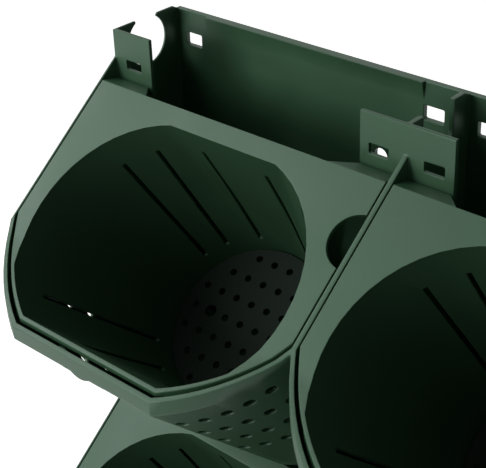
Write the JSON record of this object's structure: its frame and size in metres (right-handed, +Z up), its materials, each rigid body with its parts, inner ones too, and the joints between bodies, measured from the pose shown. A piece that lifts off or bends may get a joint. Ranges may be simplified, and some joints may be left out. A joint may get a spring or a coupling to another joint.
{
  "type": "wall planter",
  "caption": "Modular self-watering wall planter with slanted pockets, slotted lift-out pots, perforated soil grids and a watering pipe trough.",
  "frame": {"origin": "middle of the four wall screw holes, on the wall plane", "axes": "+X to the right along the row of pockets, +Y into the wall, +Z up; the planter stands out from the wall towards -Y"},
  "size_m": [0.495, 0.1505, 0.3607],
  "materials": {
    "module_plastic": "satin moulded",
    "pot_plastic": "satin moulded",
    "grid_plastic": "satin moulded"
  },
  "bodies": {
    "planter": {"module_lower": "module_plastic", "module_upper": "module_plastic"},
    "pot_lower_left": {"pot_lower_left": "pot_plastic"},
    "soil_grid_lower_left": {"soil_grid_lower_left": "grid_plastic"},
    "pot_lower_middle": {"pot_lower_middle": "pot_plastic"},
    "soil_grid_lower_middle": {"soil_grid_lower_middle": "grid_plastic"},
    "pot_lower_right": {"pot_lower_right": "pot_plastic"},
    "soil_grid_lower_right": {"soil_grid_lower_right": "grid_plastic"},
    "pot_upper_left": {"pot_upper_left": "pot_plastic"},
    "soil_grid_upper_left": {"soil_grid_upper_left": "grid_plastic"},
    "pot_upper_middle": {"pot_upper_middle": "pot_plastic"},
    "soil_grid_upper_middle": {"soil_grid_upper_middle": "grid_plastic"},
    "pot_upper_right": {"pot_upper_right": "pot_plastic"},
    "soil_grid_upper_right": {"soil_grid_upper_right": "grid_plastic"}
  },
  "joints": [
    {"name": "lift_pot_lower_left", "type": "slide", "parent": "planter", "child": "pot_lower_left", "axis": [0, -0.712, 0.7021], "range_m": [0, 0.112]},
    {"name": "lift_soil_grid_lower_left", "type": "slide", "parent": "pot_lower_left", "child": "soil_grid_lower_left", "axis": [0, -0.6198, 0.7848], "range_m": [0, 0.095]},
    {"name": "lift_pot_lower_middle", "type": "slide", "parent": "planter", "child": "pot_lower_middle", "axis": [0, -0.712, 0.7021], "range_m": [0, 0.112]},
    {"name": "lift_soil_grid_lower_middle", "type": "slide", "parent": "pot_lower_middle", "child": "soil_grid_lower_middle", "axis": [0, -0.6198, 0.7848], "range_m": [0, 0.095]},
    {"name": "lift_pot_lower_right", "type": "slide", "parent": "planter", "child": "pot_lower_right", "axis": [0, -0.712, 0.7021], "range_m": [0, 0.112]},
    {"name": "lift_soil_grid_lower_right", "type": "slide", "parent": "pot_lower_right", "child": "soil_grid_lower_right", "axis": [0, -0.6198, 0.7848], "range_m": [0, 0.095]},
    {"name": "lift_pot_upper_left", "type": "slide", "parent": "planter", "child": "pot_upper_left", "axis": [0, -0.712, 0.7021], "range_m": [0, 0.112]},
    {"name": "lift_soil_grid_upper_left", "type": "slide", "parent": "pot_upper_left", "child": "soil_grid_upper_left", "axis": [0, -0.6198, 0.7848], "range_m": [0, 0.095]},
    {"name": "lift_pot_upper_middle", "type": "slide", "parent": "planter", "child": "pot_upper_middle", "axis": [0, -0.712, 0.7021], "range_m": [0, 0.112]},
    {"name": "lift_soil_grid_upper_middle", "type": "slide", "parent": "pot_upper_middle", "child": "soil_grid_upper_middle", "axis": [0, -0.6198, 0.7848], "range_m": [0, 0.095]},
    {"name": "lift_pot_upper_right", "type": "slide", "parent": "planter", "child": "pot_upper_right", "axis": [0, -0.712, 0.7021], "range_m": [0, 0.112]},
    {"name": "lift_soil_grid_upper_right", "type": "slide", "parent": "pot_upper_right", "child": "soil_grid_upper_right", "axis": [0, -0.6198, 0.7848], "range_m": [0, 0.095]}
  ]
}
